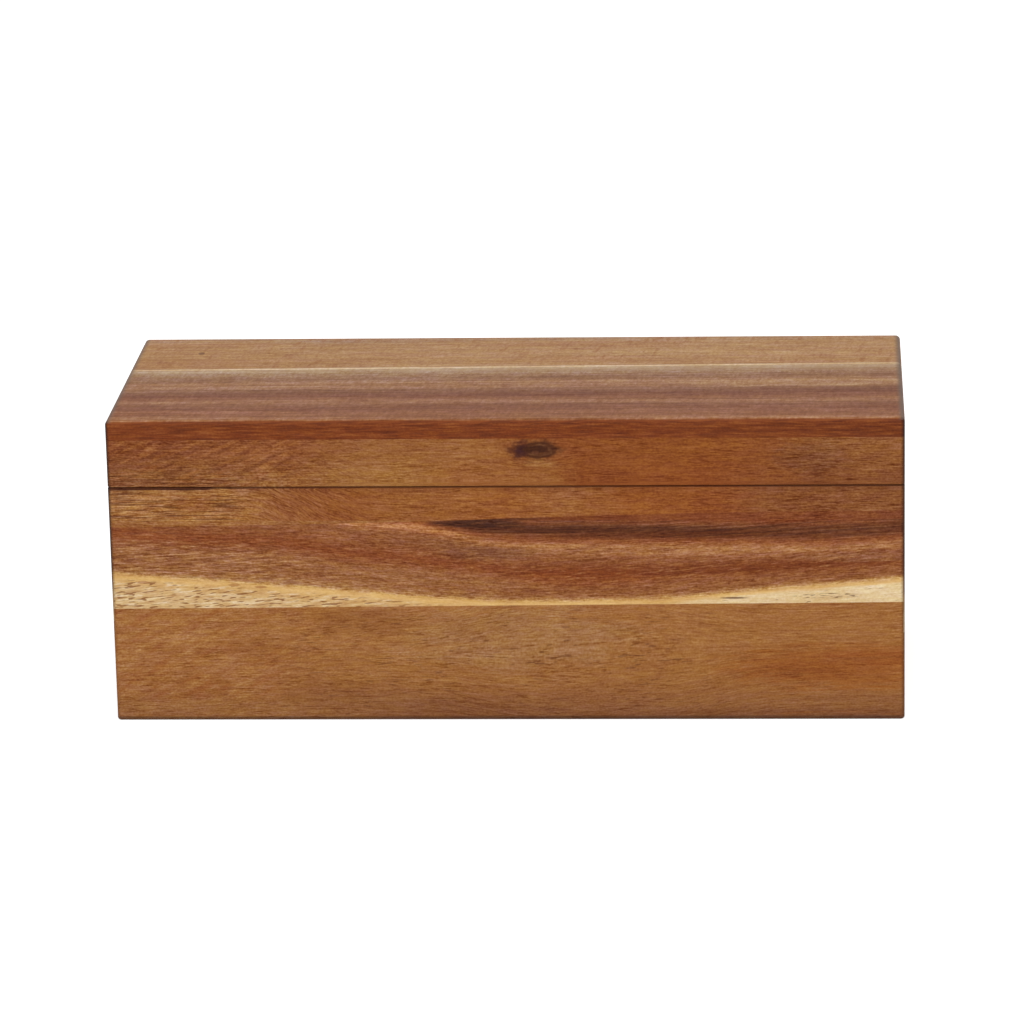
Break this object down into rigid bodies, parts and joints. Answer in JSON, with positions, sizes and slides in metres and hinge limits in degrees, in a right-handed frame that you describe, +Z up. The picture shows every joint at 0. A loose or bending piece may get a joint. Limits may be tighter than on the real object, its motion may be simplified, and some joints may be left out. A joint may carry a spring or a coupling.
{
  "type": "wooden tea box",
  "caption": "Long hinged wooden tea box with mitred walls of glued boards, an overlaid lid, fixed compartments inside and brass stop hinges.",
  "frame": {"origin": "middle of the wooden base, on the plane that the box stands on", "axes": "+X along the length to the right as seen from the front, +Y towards the hinged back, +Z up"},
  "size_m": [0.25, 0.1059, 0.0987],
  "materials": {
    "walls": "oiled, satin",
    "lid": "oiled, satin",
    "interior": "sanded, matt",
    "hinges": "brushed"
  },
  "bodies": {
    "box": {"front_board_lower": "walls", "front_board_middle": "walls", "front_board_upper": "walls", "back_board_lower": "walls", "back_board_middle": "walls", "back_board_upper": "walls", "left_board_lower": "walls", "left_board_middle": "walls", "left_board_upper": "walls", "right_board_lower": "walls", "right_board_middle": "walls", "right_board_upper": "walls", "bottom_panel": "interior", "divider_left": "interior", "divider_right": "interior", "hinge_left_body_leaf": "hinges", "hinge_right_body_leaf": "hinges", "hinge_left_pin": "hinges", "hinge_right_pin": "hinges", "hinge_body_screws": "hinges"},
    "lid": {"lid_front_rail": "lid", "lid_back_rail": "lid", "lid_left_rail": "lid", "lid_right_rail": "lid", "lid_top_front_board": "lid", "lid_top_back_board": "lid", "hinge_left_lid_leaf": "hinges", "hinge_right_lid_leaf": "hinges", "hinge_lid_screws": "hinges"}
  },
  "joints": [
    {"name": "lid_hinge", "type": "hinge", "parent": "box", "child": "lid", "pos_m": [0, 0.0527, 0.077], "axis": [-1, 0, 0], "range_deg": [0, 95]}
  ]
}
